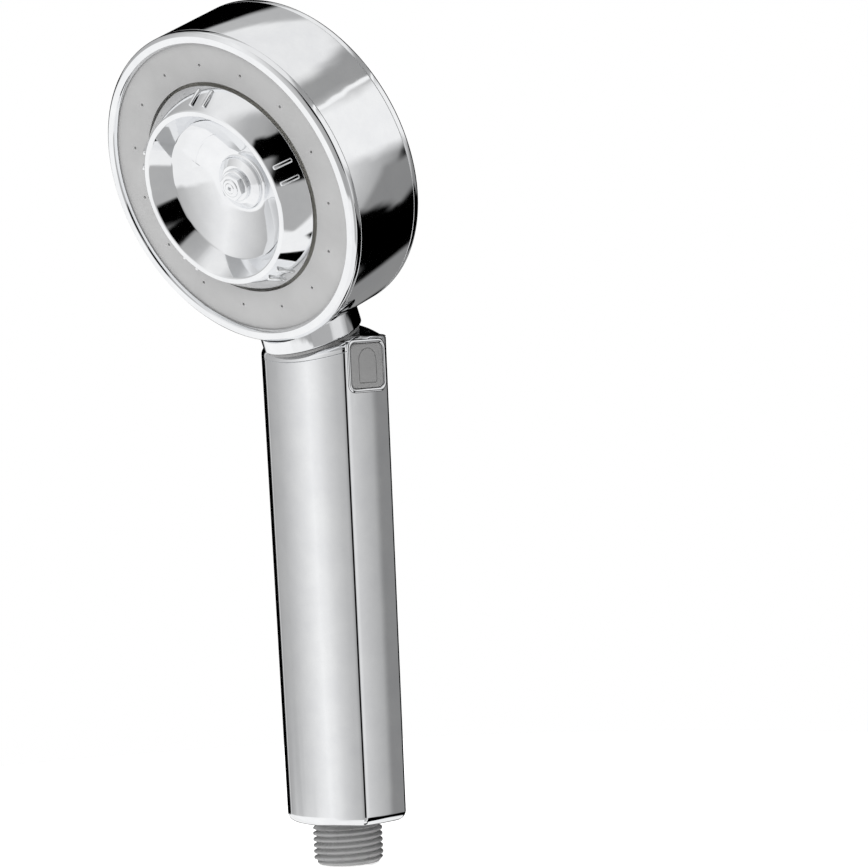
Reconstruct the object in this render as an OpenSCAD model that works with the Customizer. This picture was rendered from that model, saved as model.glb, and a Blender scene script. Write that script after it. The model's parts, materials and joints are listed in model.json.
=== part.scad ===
// Double-sided handheld shower head.
// A flat-sided grip carries a round drum on a tilted neck. One face of the drum has fine mist holes
// and a turning jet knob, the other has rubber rain nozzles. The drum swivels half a turn about the
// neck, and a push-through button across the grip stops the water.
// Frame: +Z up the grip, origin at the centre of the inlet thread's end, -Y the side the water leaves.

/* [Inlet] */
// Outside diameter of the inlet pipe thread
thread_d = 20.955; // [18:0.005:26]
// Distance between two turns of the thread
thread_pitch = 1.814; // [1.4:0.001:2.4]
// Length of the thread below the grip
thread_l = 12.5; // [9:0.1:20]
// Diameter of the inlet bore, where a filter or regulator insert seats
inlet_bore_d = 14.4; // [13:0.1:16]
// Depth of the inlet bore
inlet_bore_l = 6; // [4:0.1:7]
// Diameter of the flow limiter behind the inlet bore
limiter_d = 12.4; // [11:0.1:12.6]

/* [Grip] */
// Length of the grip from its lower end to the top of its flat sides
handle_l = 146.7; // [100:0.1:220]
// Width of the grip at its top, across the flat sides
handle_w = 36.5; // [32:0.1:48]
// Depth of the grip at its top, across the curved faces
handle_d = 31; // [29:0.1:40]
// Width of each flat side
flat_w = 18; // [17:0.1:22]
// How much narrower the lower end is than the top
handle_taper = 2.1; // [0:0.1:4]
// Wall of the grip
handle_wall = 2.2; // [1.4:0.1:2.6]
// Rounding of the grip's lower edge
foot_round = 3; // [0.5:0.1:4]

/* [Stop valve] */
// Width of a stop button
button_w = 13.5; // [11:0.1:14]
// Height of a stop button
button_h = 13.4; // [11:0.1:14]
// Corner radius of a stop button
button_corner = 2; // [1:0.1:4]
// Depth of a stop button behind the flat side
button_depth = 3.6; // [3:0.1:5]
// Width of the chrome frame round a button
bezel_w = 1.2; // [0.8:0.1:1.6]
// Diameter of the valve spool
spool_d = 7.6; // [6.4:0.1:9]
// Travel of the stop buttons
stop_travel = 3; // [2:0.1:3.4]

/* [Neck] */
// Tilt of the neck away from the grip, towards the front
neck_tilt = 20; // [12:0.5:24]
// Diameter of the spigot that the head turns on
spigot_d = 14; // [11:0.1:17]
// Diameter of the collar under the drum
collar_d = 30.6; // [27:0.1:34]
// Height of the collar
collar_h = 5; // [4.4:0.1:8]

/* [Head] */
// Outside diameter of the drum
drum_d = 98; // [80:0.5:130]
// Wall of the drum
drum_wall = 1.8; // [1.2:0.1:2.2]
// Width of the chrome rim round each face
rim_w = 3.6; // [3:0.1:5]
// How far each face lies behind its rim
face_recess = 1.7; // [1:0.1:2.5]
// Depth of the water channel behind the mist holes
mist_channel = 1.4; // [1:0.1:4]

/* [Mist face] */
// Number of mist holes
mist_holes = 15; // [8:1:24]
// Diameter of a mist hole
mist_hole_d = 0.9; // [0.6:0.1:1.4]
// Distance of the mist holes from the drum's edge
mist_edge = 10.6; // [9:0.1:12]
// Width of the mist plate seen between the rim and the knob
mist_land = 12.9; // [12:0.1:15]
// Height of the knob above the mist plate
knob_h = 8.3; // [6:0.1:11]
// Number of pairs of grip ribs round the knob
rib_pairs = 5; // [3:1:8]
// Diameter of the jet nozzle's hole
jet_d = 1.2; // [0.8:0.1:2.4]
// Diameter of the knob's shaft
shaft_d = 8; // [7:0.1:9]

/* [Rain face] */
// Number of groups of three rain nozzles
nozzle_groups = 17; // [10:1:17]
// Distance of the outer row of nozzles from the drum's edge
nozzle_edge = 8.3; // [8:0.1:10]
// Diameter of a nozzle at the plate
nozzle_d = 3.6; // [2.6:0.1:3.8]
// Height of a nozzle above the plate
nozzle_h = 2.4; // [1.5:0.1:4]
// Height of the trim ring above the plate
trim_h = 2; // [1.6:0.1:3]

/* [Hidden] */

chrome = [0.86, 0.87, 0.89];
plate_grey = [0.73, 0.73, 0.73];
rubber_grey = [0.27, 0.27, 0.27];
button_grey = [0.5, 0.5, 0.5];
moulding_grey = [0.42, 0.42, 0.43];
moulding_white = [0.9, 0.9, 0.88];
steel = [0.7, 0.7, 0.72];
seal_black = [0.12, 0.12, 0.12];

fine = 96;        // facets of a large round
small = 32;       // facets of a small round
run_gap = 0.05;   // radial clearance of a shaft that turns or slides
slip = 0.1;       // clearance of pieces that are assembled and stay
swing_gap = 0.3;  // gap between pieces that pass each other
sliver = 0.01;    // thickness of a slice that a hull joins
past = 1;         // how far a cut runs past its wall

// Grip, bottom to top
handle_z0 = thread_l;
handle_z1 = handle_z0 + handle_l;
spread_w = handle_w / 2;
spread_d = handle_d / 2;
floor_z = handle_z0 + handle_wall + 0.3;

hollow_round = 0.4;
inlet_flange_r = spread_d - handle_taper / 2 - handle_wall - hollow_round - slip;

limiter_t = 3;

// Neck: its axis crosses the grip's axis at pivot_z; heights above it are measured along the neck
seat_h = 11.2;
pivot_z = handle_z1 - seat_h * cos(neck_tilt) - 0.5;
lid_t = 2.2;
bearing_t = 0.8;
collar_r = collar_d / 2;
collar_z = seat_h + bearing_t + swing_gap;
drum_r = drum_d / 2;
drum_z = seat_h + collar_h + drum_r;
seat_disc_r = spread_d - 3.5;
function seat_plane_z(y) = pivot_z + seat_h / cos(neck_tilt) + tan(neck_tilt) * y;

// Swivel joint, heights along the neck
spigot_r = spigot_d / 2;
socket_bore_r = spigot_r + run_gap;
socket_r = socket_bore_r + 1.55;
socket_top = 33;
spigot_top = socket_top + 0.2;
cap_top = spigot_top + 4.2;
washer_t = 1;
port_r = 1.3;
port_pitch = 2.8;
port_z = 24.8;
oring_r = 0.9;
spigot_ring_z = [15.3, 30.2];
screw_r = 1.5;
ball_r = 1.25;
ball_place = collar_r - 3.3;
flange_r = spread_d - handle_wall - 2.8;
flange_t = 2.2;
tail_r = 4.2;
body_screw_x = flange_r - 2.2;

// Stop valve, across the grip
valve_z = pivot_z - 2.2;
spool_r = spool_d / 2;
spool_bore_r = spool_r + run_gap;
valve_r = spool_bore_r + 2.25;
valve_half = spread_w - button_depth - stop_travel - 0.5;
button_z = pivot_z + 2;
port_slot = stop_travel - 0.2;
waist_r = spool_r - 1.8;
stem_r = 2.2;
spool_ring_x = valve_half - 3.2;
water_tube_r = 6.5;
water_tube_wall = 1.6;
tube_seat = 8;
seal_groove_r = water_tube_r + run_gap + 0.8;
tube_top = valve_z - valve_r - 0.2;
tube_bottom = floor_z + 6;
tail_bottom = (valve_z + spool_bore_r + 0.6 - pivot_z + tail_r * sin(neck_tilt)) / cos(neck_tilt);
spigot_flange_z = seat_h - lid_t - slip - flange_t;

// Drum stack, distances from the middle of the drum towards a face
plate_t = 2;
manifold_t = 1.1;
flange_back = socket_r + 0.2;
plate_back = flange_back + manifold_t + mist_channel;
face = plate_back + plate_t;
rim = face + face_recess;
split = rim - 3;
inner_r = drum_r - drum_wall;
rim_r = drum_r - rim_w;
plate_r = inner_r - 0.2;
divider_t = 2.4;
ledge_w = 2.6;
seal_t = 1;
ledge_t = 1.4;
ledge_mid = plate_back - seal_t - ledge_t / 2;
lug_place = inner_r - 3.6;
lug_r = 3;
fixings = 4;

// Knob
knob_r = rim_r - mist_land;
crest_r = knob_r - 5;
crest_w = 1.9;
dish_r = crest_r - crest_w - 3.9;
boss_r = 8.1;
skin = 1.4;
knob_gap = 0.3;
mist_r = drum_r - mist_edge;
step_r = knob_r - 6.3;
hub_front = face - 7.3;
hub_t = 2;
hub_back = divider_t / 2 + 1;
hub_r = shaft_d / 2 + 3.2;
shaft_r = shaft_d / 2;
first_mist_hole = 4;
first_rib = 8;
rib_gap = 5.2;
rib_w = 1.3;
rib_rise = 0.7;

// Rain face: angles are turned clockwise from the top, seen from outside that face
row_r = [drum_r - nozzle_edge, drum_r - nozzle_edge - 3.15, drum_r - nozzle_edge - 8.7];
row_turn = [3.1, 11.8, 17.7];
nozzle_r = nozzle_d / 2;
nozzle_tip_r = nozzle_r - 0.75;
nozzle_hole_r = 0.45;
mat_t = 1.5;
trim_r = row_r[2] - 4.6;
trim_w = 3.5;
cover_r = trim_r - trim_w - 0.3;
cover_screw_place = trim_r - 13.4;
post_r = 3.4;

// ---- Frames ----

// Origin where the neck crosses the grip's axis, z along the neck
module in_neck() { translate([0, 0, pivot_z]) rotate([neck_tilt, 0, 0]) children(); }

// Origin in the middle of the drum, z out of the mist face, y along the neck
module in_drum() { in_neck() translate([0, 0, drum_z]) rotate([90, 0, 0]) children(); }

// As in_drum, but z out of the rain face, so that angles run as seen from outside it
module in_rain() { in_drum() rotate([0, 180, 0]) children(); }

// Clockwise from the top of a face, seen from outside it
module at_face(place, turn) { rotate([0, 0, 90 - turn]) translate([place, 0, 0]) children(); }

// ---- Shapes that repeat ----

module ring(outer, inner, from, to, facets = fine) {
    translate([0, 0, from]) difference() {
        cylinder(r = outer, h = to - from, $fn = facets);
        translate([0, 0, -past]) cylinder(r = inner, h = to - from + 2 * past, $fn = facets);
    }
}

module rod(radius, from, to, facets = small) {
    translate([0, 0, from]) cylinder(r = radius, h = to - from, $fn = facets);
}

module across(radius, half, facets = small) {
    rotate([0, 90, 0]) cylinder(r = radius, h = 2 * half, center = true, $fn = facets);
}

// Round seal whose outside just meets a bore of the given radius
module o_ring(bore, section) {
    rotate_extrude($fn = fine) translate([bore - section, 0]) circle(r = section, $fn = 24);
}

module screw(shank, length, head, head_t) {
    rod(shank, -length, 0);
    difference() {
        rod(head, 0, head_t);
        translate([-head * 0.6, -0.3, head_t - 0.6]) cube([head * 1.2, 0.6, past]);
        translate([-0.3, -head * 0.6, head_t - 0.6]) cube([0.6, head * 1.2, past]);
    }
}

// Outline of the grip: two arcs front and back, joined by the flat sides
function arc_radius(half, rise) = (half * half + rise * rise) / (2 * rise);
function grip_arc(half, depth, flat, side) =
    let (radius = arc_radius(half, depth - flat), reach = asin(half / radius), steps = 16)
    [for (i = [0:steps]) let (turn = side * (reach - 2 * reach * i / steps))
        [radius * sin(turn) , side * (depth - radius + radius * cos(turn))]];
module grip_outline(inset, narrow) {
    half = spread_w - narrow - inset;
    depth = spread_d - narrow - inset;
    flat = flat_w / 2 - narrow * 0.4 - inset * 0.5;
    polygon(concat(grip_arc(half, depth, flat, 1), grip_arc(half, depth, flat, -1)));
}

// One level of the grip, kept behind y_from
module grip_level(z, inset, y_from = -100) {
    narrow = handle_taper / 2 * (handle_z1 - z) / handle_l;
    translate([0, 0, z]) linear_extrude(sliver) intersection() {
        grip_outline(inset, narrow);
        translate([-100, y_from]) square([200, 200]);
    }
}

// The whole grip as one closed form; the hollow inside it is inset, with its floor lifted and its
// top past the outer one
module grip_form(inset = 0, lift = 0, round = foot_round, drop = 0) {
    side_y = -flat_w / 2;
    eave_y = -seat_disc_r * 0.2;
    hull() {
        grip_level(handle_z0 + lift, inset + round);
        grip_level(handle_z0 + lift + round * 0.3, inset + round * 0.3);
        grip_level(handle_z0 + lift + round, inset);
        grip_level(seat_plane_z(-spread_d) - drop, inset);
        grip_level(seat_plane_z(side_y) - drop, inset, side_y);
        grip_level(seat_plane_z(eave_y) - drop, inset, eave_y);
        in_neck() rod(seat_disc_r - inset, seat_h - drop - sliver, seat_h - drop);
    }
}

// Everything above the joint between the grip and its lid
module lid_zone() {
    in_neck() translate([-50, -50, seat_h - lid_t]) cube([100, 100, 30]);
    translate([-50, -50, handle_z1 - 0.8]) cube([100, 100, 30]);
}

// Rounded rectangle standing on the +X side, seen from outside
module side_block(grow, from, to) {
    w = button_w / 2 + grow - button_corner - grow / 2;
    h = button_h / 2 + grow - button_corner - grow / 2;
    corner = button_corner + grow / 2;
    translate([from, 0, button_z]) rotate([90, 0, 90]) linear_extrude(to - from) union() {
        square([2 * w, 2 * (h + corner)], center = true);
        square([2 * (w + corner), 2 * h], center = true);
        for (sx = [-1, 1], sy = [-1, 1])
            translate([sx * w, sy * h]) circle(r = corner, $fn = small);
    }
}

module both_windows(grow) {
    for (side = [0, 1]) mirror([side, 0, 0])
        side_block(grow, valve_half - 2, spread_w + past);
}

// ---- Grip and water way ----

module inlet_fitting() {
    crest_r = thread_d / 2;
    root_r = crest_r - 0.6403 * thread_pitch;
    turns = floor((thread_l - 1.2) / thread_pitch);
    color(moulding_grey) difference() {
        union() {
            rod(root_r, 0, handle_z0, fine);
            for (i = [0:turns - 1]) translate([0, 0, 0.5 + i * thread_pitch])
                rotate_extrude($fn = fine) polygon([[root_r - 1, 0], [root_r, 0],
                    [crest_r, thread_pitch * 0.3], [crest_r, thread_pitch * 0.62],
                    [root_r, thread_pitch * 0.92], [root_r - 1, thread_pitch * 0.92]]);
            rod(root_r, handle_z0 - past, floor_z, fine);
            rod(inlet_flange_r, floor_z, floor_z + 3, fine);
            rod(water_tube_r + 2.1, floor_z + 3, tube_bottom + tube_seat, fine);
        }
        rod(inlet_bore_d / 2, -past, inlet_bore_l, fine);
        rod(limiter_d / 2, 0, inlet_bore_l + limiter_t + 0.6, fine);
        rod(water_tube_r - water_tube_wall, 0, tube_bottom + past, fine);
        rod(water_tube_r + run_gap, tube_bottom, tube_bottom + tube_seat + past, fine);
        translate([0, 0, tube_bottom + tube_seat / 2]) rod(seal_groove_r, -0.9, 0.9, fine);
    }
}

module flow_limiter() {
    low = inlet_bore_l + 0.5;
    color(moulding_white) difference() {
        rod(limiter_d / 2 - slip, low, low + limiter_t, fine);
        for (i = [0:5]) rotate([0, 0, 60 * i]) translate([limiter_d / 4, 0, 0])
            rod(1.1, low - past, low + limiter_t + past);
    }
}

module handle_shell() {
    root_r = thread_d / 2 - 0.6403 * thread_pitch;
    color(chrome) difference() {
        grip_form();
        grip_form(handle_wall, floor_z - handle_z0, hollow_round, -past);
        lid_zone();
        both_windows(bezel_w + slip);
        rod(root_r + slip, handle_z0 - past, floor_z + past, fine);
    }
}

module handle_shoulder() {
    color(chrome) difference() {
        intersection() {
            grip_form();
            lid_zone();
        }
        both_windows(bezel_w + slip);
        in_neck() {
            rod(flange_r + slip, 0, seat_h - lid_t, fine);
            rod(spigot_r + slip, 0, seat_h + past, fine);
            translate([0, ball_place, 0]) rod(ball_r + slip, 0, seat_h + past);
            for (side = [-1, 1]) translate([side * body_screw_x, 0, 0])
                rod(screw_r - 0.3 + run_gap, 0, seat_h - 0.5);
        }
    }
}

module water_tube() {
    color(moulding_white) ring(water_tube_r, water_tube_r - water_tube_wall, tube_bottom + 0.1, tube_top);
}

module tube_seals() {
    lift = tube_seat / 2;
    color(seal_black) for (z = [tube_bottom + lift, tube_top - lift])
        translate([0, 0, z]) ring(seal_groove_r - run_gap, water_tube_r, -0.8, 0.8);
}

module valve_body() {
    boss_low = tube_top - tube_seat;
    color(moulding_white) difference() {
        union() {
            translate([0, 0, valve_z]) across(valve_r, valve_half, fine);
            rod(water_tube_r + 2.1, boss_low, valve_z, fine);
            in_neck() rod(tail_r + 1.6, -2.2, spigot_flange_z - 0.2, fine);
        }
        translate([0, 0, valve_z]) across(spool_bore_r, valve_half + past, fine);
        rod(water_tube_r + run_gap, boss_low - past, tube_top + 0.1, fine);
        translate([0, 0, tube_top - tube_seat / 2]) rod(seal_groove_r, -0.9, 0.9, fine);
        translate([-port_slot / 2, -3.2, tube_top - past]) cube([port_slot, 6.4, valve_z - tube_top + past]);
        in_neck() {
            translate([-port_slot / 2, -3.2, -2]) cube([port_slot, 6.4, tail_bottom + 3]);
            rod(tail_r + run_gap, tail_bottom - 0.1, spigot_flange_z + past, fine);
        }
    }
}

module bezel(side) {
    color(chrome) mirror([side, 0, 0]) difference() {
        side_block(bezel_w, spread_w - handle_wall - 1, spread_w + 0.15);
        side_block(0.2, spread_w - handle_wall - 2, spread_w + past);
    }
}
module right_bezel() { bezel(0); }
module left_bezel() { bezel(1); }

module neck_spigot() {
    groove_r = spigot_r - 1.5;
    color(moulding_white) in_neck() difference() {
        union() {
            rod(tail_r, tail_bottom, seat_h - lid_t, fine);
            rod(flange_r, spigot_flange_z, spigot_flange_z + flange_t, fine);
            rod(spigot_r, seat_h - lid_t - 0.5, spigot_top, fine);
        }
        rod(tail_r - 1.6, tail_bottom - past, port_z + 4, fine);
        for (z = spigot_ring_z) translate([0, 0, z]) ring(spigot_r + past, groove_r, -0.95, 0.95);
        for (i = [-1:1]) translate([0, 0, port_z + i * port_pitch]) rotate([0, 90, -16])
            rod(port_r, 0, spigot_r + past);
        rod(screw_r + run_gap, port_z + 4.8, spigot_top + past);
        for (side = [-1, 1]) translate([side * body_screw_x, 0, 0]) rod(screw_r, 0, seat_h - lid_t);
        translate([0, ball_place, 0]) rod(ball_r + slip, seat_h - lid_t - 1.2, seat_h);
    }
}

module neck_seals() {
    color(seal_black) in_neck() for (z = spigot_ring_z) translate([0, 0, z])
        o_ring(spigot_r + run_gap * 0.6, 0.75);
}

module neck_bearing() {
    color(moulding_grey) in_neck() difference() {
        ring(collar_r - 1, spigot_r + slip, seat_h, seat_h + bearing_t);
        translate([0, ball_place, 0]) rod(ball_r + slip, 0, collar_z);
    }
}

module retaining_washer() {
    color(steel) in_neck() ring(socket_bore_r + 0.55, screw_r + run_gap, spigot_top, spigot_top + washer_t);
}

module retaining_screw() {
    color(steel) in_neck() translate([0, 0, spigot_top + washer_t]) screw(screw_r, 4.6, 2.8, 1.8);
}

module body_screws() {
    top = seat_h - 0.7;
    bottom = spigot_flange_z;
    color(steel) in_neck() for (side = [-1, 1]) translate([side * body_screw_x, 0, bottom])
        rotate([180, 0, 0]) screw(screw_r - 0.3, top - bottom, 2, 1.2);
}

module detent_ball() {
    color(steel) in_neck() translate([0, ball_place, collar_z - 0.1 - ball_r]) sphere(r = ball_r, $fn = 48);
}

module detent_spring() {
    low = seat_h - lid_t - 1.1;
    top = collar_z - 0.2 - 2 * ball_r;
    color(steel) in_neck() translate([0, ball_place, 0])
        ring(ball_r - 0.05, ball_r - 0.4, low, top, small);
}

// ---- Stop valve, slides across the grip ----

module valve_spool() {
    end = spread_w - button_depth + 1.2;
    color(moulding_white) translate([0, 0, valve_z]) difference() {
        union() {
            across(spool_r, valve_half - past, fine);
            across(stem_r, end, fine);
        }
        rotate([0, 90, 0]) {
            ring(spool_r + past, waist_r, -port_slot / 2 - 0.1, port_slot / 2 + 0.1);
            for (x = [-spool_ring_x, spool_ring_x]) ring(spool_r + past, spool_r - 1.35, x - 0.9, x + 0.9);
        }
    }
}

module spool_seals() {
    color(seal_black) translate([0, 0, valve_z]) rotate([0, 90, 0])
        for (x = [-spool_ring_x, spool_ring_x]) translate([0, 0, x]) o_ring(spool_r + run_gap * 0.6, 0.68);
}

module stop_button(side) {
    outer = spread_w + 0.1;
    color(button_grey) mirror([side, 0, 0]) difference() {
        side_block(0, spread_w - button_depth, outer);
        translate([0, 0, valve_z]) rotate([0, 90, 0]) rod(stem_r + slip, 0, spread_w - button_depth + 1.3, fine);
    }
}
module marked_button() { stop_button(0); }
module plain_button() { stop_button(1); }

// ---- Drum ----

module neck_collar() {
    color(chrome) difference() {
        in_neck() ring(collar_r, socket_r + slip, collar_z, seat_h + collar_h + 3);
        in_neck() rotate_extrude($fn = fine)
            translate([ball_place, collar_z]) square([2 * ball_r + 0.4, 1], center = true);
        in_drum() cylinder(r = drum_r + slip / 2, h = 4 * rim, center = true, $fn = fine * 2);
    }
}

// The two ears that hold the socket against the inside of the drum; reach runs them on downwards
module socket_tabs(grow, reach) {
    half = socket_r + 3.4;
    low = drum_z - sqrt(inner_r * inner_r - half * half) + slip;
    translate([-half - grow, -socket_r - grow, low - reach])
        cube([2 * (half + grow), 2 * (socket_r + grow), 0.9 + grow + reach]);
}

module head_socket() {
    color(moulding_white) in_neck() difference() {
        union() {
            rod(socket_r, collar_z, socket_top, fine);
            socket_tabs(0, 0);
        }
        rod(socket_bore_r, 0, cap_top, fine);
        for (i = [-1:1]) translate([0, 0, port_z + i * port_pitch]) rotate([0, 90, -16])
            cylinder(r = port_r, h = 4 * socket_r, center = true, $fn = small);
    }
}

module socket_cap() {
    color(moulding_white) in_neck() difference() {
        rod(socket_r, socket_top, cap_top, fine);
        rod(socket_r - 0.85, socket_top - past, cap_top - 1, fine);
    }
}

module drum_shell() {
    color(chrome) difference() {
        union() {
            in_drum() ring(drum_r, inner_r, -split, split, fine * 2);
            in_drum() for (side = [-1, 1])
                ring(inner_r + 0.2, inner_r - ledge_w, side * ledge_mid - ledge_t / 2,
                    side * ledge_mid + ledge_t / 2, fine * 2);
            in_drum() for (i = [0:fixings - 1]) rotate([0, 0, 45 + i * 360 / fixings])
                translate([lug_place, 0, 0]) {
                    rod(lug_r, -divider_t / 2 - 5, -divider_t / 2);
                    translate([0, -lug_r, -divider_t / 2 - 5]) cube([inner_r - lug_place + 0.4, 2 * lug_r, 5]);
                }
        }
        in_neck() rod(socket_r + slip, 0, drum_z - inner_r + ledge_w + 1, fine);
        in_drum() for (i = [0:fixings - 1]) rotate([0, 0, 45 + i * 360 / fixings])
            translate([lug_place, 0, 0]) rod(1.25 + run_gap, -divider_t / 2 - 4.5, 0);
    }
}

module socket_clear() {
    in_neck() {
        rod(socket_r + slip, 0, cap_top + slip, fine);
        socket_tabs(slip, 10);
    }
}

module divider_plate() {
    color(moulding_white) difference() {
        union() {
            in_drum() ring(inner_r - slip, 0.01, -divider_t / 2, divider_t / 2);
            in_drum() for (i = [0:2]) rotate([0, 0, 90 + 120 * i]) translate([cover_screw_place, 0, 0])
                rod(post_r, -plate_back + 0.05, -divider_t / 2 + 0.1);
        }
        socket_clear();
        in_drum() for (i = [0:fixings - 1]) rotate([0, 0, 45 + i * 360 / fixings])
            translate([lug_place, 0, 0]) rod(1.4, -divider_t, divider_t);
        in_drum() for (i = [0:2]) rotate([0, 0, 90 + 120 * i]) translate([cover_screw_place, 0, 0])
            rod(1.25 + run_gap, -plate_back - past, -divider_t);
    }
}

module divider_screws() {
    color(steel) in_drum() for (i = [0:fixings - 1]) rotate([0, 0, 45 + i * 360 / fixings])
        translate([lug_place, 0, divider_t / 2]) screw(1.25, divider_t + 4, 2.3, 1.4);
}

module mist_manifold() {
    outer = mist_r + 3.8;
    front = flange_back + manifold_t;
    color(moulding_white) in_drum() difference() {
        union() {
            rotate_extrude($fn = fine) polygon([[0, hub_front - hub_t], [step_r, hub_front - hub_t],
                [step_r, flange_back], [outer, flange_back], [outer, front], [step_r - 1.4, front],
                [step_r - 1.4, hub_front], [0, hub_front]]);
            rod(hub_r, hub_back, hub_front - hub_t + 0.1, fine);
        }
        rod(shaft_r + run_gap, 0, face, fine);
        translate([0, 0, hub_back + 1.2]) across(0.9, hub_r + past);
        for (i = [0:mist_holes - 1]) at_face(mist_r, first_mist_hole + (i + 0.5) * 360 / mist_holes)
            rod(1.1, 0, face);
    }
}

module mist_seal() {
    color(seal_black) in_drum() ring(plate_r, inner_r - ledge_w, plate_back - seal_t, plate_back);
}

module mist_plate() {
    wall_r = mist_r + 2.2;
    color(plate_grey) in_drum() difference() {
        union() {
            ring(plate_r, knob_r + 0.7, plate_back, face);
            for (r = [wall_r, mist_r - 3.4]) ring(r + 1.2, r, plate_back - mist_channel, plate_back + 0.1);
        }
        for (i = [0:mist_holes - 1]) at_face(mist_r, first_mist_hole + i * 360 / mist_holes)
            rod(mist_hole_d / 2, 0, face + past);
    }
}

// Rim of either face, drawn looking into it
module rim_ring() {
    lip = drum_wall;
    rotate_extrude($fn = fine * 2) polygon(concat(
        [[rim_r, face + slip / 2], [drum_r - lip, face + slip / 2], [drum_r - lip, split], [drum_r, split]],
        [for (i = [0:6]) [drum_r - 1.4 + 1.4 * cos(15 * i), rim - 1.4 + 1.4 * sin(15 * i)]],
        [for (i = [0:4]) [rim_r + 0.8 - 0.8 * sin(22.5 * i), rim - 0.8 + 0.8 * cos(22.5 * i)]]));
}
module mist_bezel() { color(chrome) in_drum() rim_ring(); }

module mode_knob() {
    low = face + knob_gap;
    crest = face + knob_h;
    dish = face + 1.5;
    well = face - 5;
    wall_turn = atan2(knob_h - knob_gap, knob_r - crest_r);
    color(chrome) in_drum() difference() {
        union() {
            rotate_extrude($fn = fine) polygon([[knob_r, low], [crest_r, crest - 0.5],
                [crest_r - 0.6, crest], [crest_r - crest_w, crest], [dish_r, dish], [boss_r, well],
                [boss_r, well + 1.6], [boss_r - 2.2, well + 2.6], [0, well + 2.6], [0, hub_front + 0.3],
                [boss_r + 0.4, hub_front + 0.3], [dish_r - 0.6, dish - skin],
                [crest_r - crest_w + 0.4, crest - skin - 0.6], [crest_r - 1.2, crest - skin - 0.6],
                [knob_r - skin, low]]);
            for (i = [0:rib_pairs - 1], side = [-1, 1])
                at_face(crest_r, first_rib + i * 360 / rib_pairs)
                    translate([0, side * rib_gap / 2, crest - 0.9]) rotate([0, wall_turn, 0])
                        translate([0, -rib_w / 2, -rib_rise]) cube([5.6, rib_w, 2 * rib_rise]);
        }
        rod(shaft_r + slip / 2, 0, well + 1.6, fine);
        rod(shaft_r - 2.2, 0, well + 2.6 + past);
    }
}

module jet_nozzle() {
    seat = face - 5 + 2.6;
    tip = face + 1;
    color(moulding_grey) in_drum() difference() {
        union() {
            rod(5, seat, seat + 1.2);
            translate([0, 0, seat + 1.2]) cylinder(r = 4.4, h = tip - seat - 2.4, $fn = 6);
            rod(2.6, tip - 1.3, tip);
        }
        rod(jet_d / 2, 0, tip + past);
        rod(1.6, 0, seat + 1.4);
    }
}

module knob_shaft() {
    low = divider_t / 2 + 0.2;
    top = face - 5 + 1.6;
    color(moulding_white) in_drum() difference() {
        rod(shaft_r, low, top - slip, fine);
        rod(shaft_r - 2.2, hub_back + 0.2, top + past);
        translate([0, 0, hub_back + 1.2]) rotate([0, 90, 90])
            cylinder(r = 0.9, h = 3 * shaft_r, center = true, $fn = small);
        translate([0, 0, hub_front - 0.9]) ring(shaft_r + past, shaft_r - 0.9, -0.6, 0.6);
        ring(shaft_r + past, shaft_r - 0.6, low + 0.2, low + 0.65);
    }
}

module knob_seal() {
    color(seal_black) in_drum() translate([0, 0, hub_front - 0.9]) o_ring(shaft_r + run_gap * 0.6, 0.45);
}

module shaft_clip() {
    low = divider_t / 2 + 0.2;
    color(steel) in_drum() difference() {
        ring(shaft_r + 1.2, shaft_r - 0.55, low + 0.22, low + 0.62);
        translate([-1.5, 0, low]) cube([3, 2 * shaft_r, 1]);
    }
}

// ---- Rain face ----

module at_nozzles() {
    for (i = [0:nozzle_groups - 1], row = [0:2])
        at_face(row_r[row], row_turn[row] + i * 360 / nozzle_groups) children();
}

module rain_seal() {
    color(seal_black) in_rain() ring(plate_r, inner_r - ledge_w, plate_back - seal_t, plate_back);
}

module nozzle_mat() {
    color(rubber_grey) in_rain() difference() {
        union() {
            ring(inner_r - ledge_w - 0.2, trim_r + 0.6, plate_back - mat_t, plate_back);
            at_nozzles() {
                rod(nozzle_r, plate_back - 0.1, face, 24);
                translate([0, 0, face]) cylinder(r1 = nozzle_r, r2 = nozzle_tip_r, h = nozzle_h, $fn = 24);
            }
        }
        at_nozzles() rod(nozzle_hole_r, 0, face + nozzle_h + past, 16);
    }
}

module rain_plate() {
    color(plate_grey) in_rain() difference() {
        rod(plate_r, plate_back, face, fine);
        at_nozzles() rod(nozzle_r + slip / 2, 0, face + past, 24);
        for (i = [0:2]) rotate([0, 0, 90 + 120 * i]) translate([cover_screw_place, 0, 0]) {
            rod(1.4, 0, face + past);
            rod(2.5, face - 1.4, face + past);
        }
    }
}

module rain_bezel() { color(chrome) in_rain() rim_ring(); }

module cover_screws() {
    color(steel) in_rain() for (i = [0:2]) rotate([0, 0, 90 + 120 * i])
        translate([cover_screw_place, 0, face - 1.35]) screw(1.25, 5.5, 2.3, 1.3);
}

module rain_trim_ring() {
    crest = face + trim_h;
    inner = trim_r - trim_w;
    color(chrome) in_rain() rotate_extrude($fn = fine) polygon([[inner, face + 0.02], [trim_r, face + 0.02],
        [trim_r, crest - 0.8], [trim_r - 0.8, crest], [inner + 0.8, crest], [inner, crest - 0.6]]);
}

module rain_center_cover() {
    color(steel) in_rain() rod(cover_r, face + 0.02, face + trim_h - 0.8, fine);
}

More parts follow.
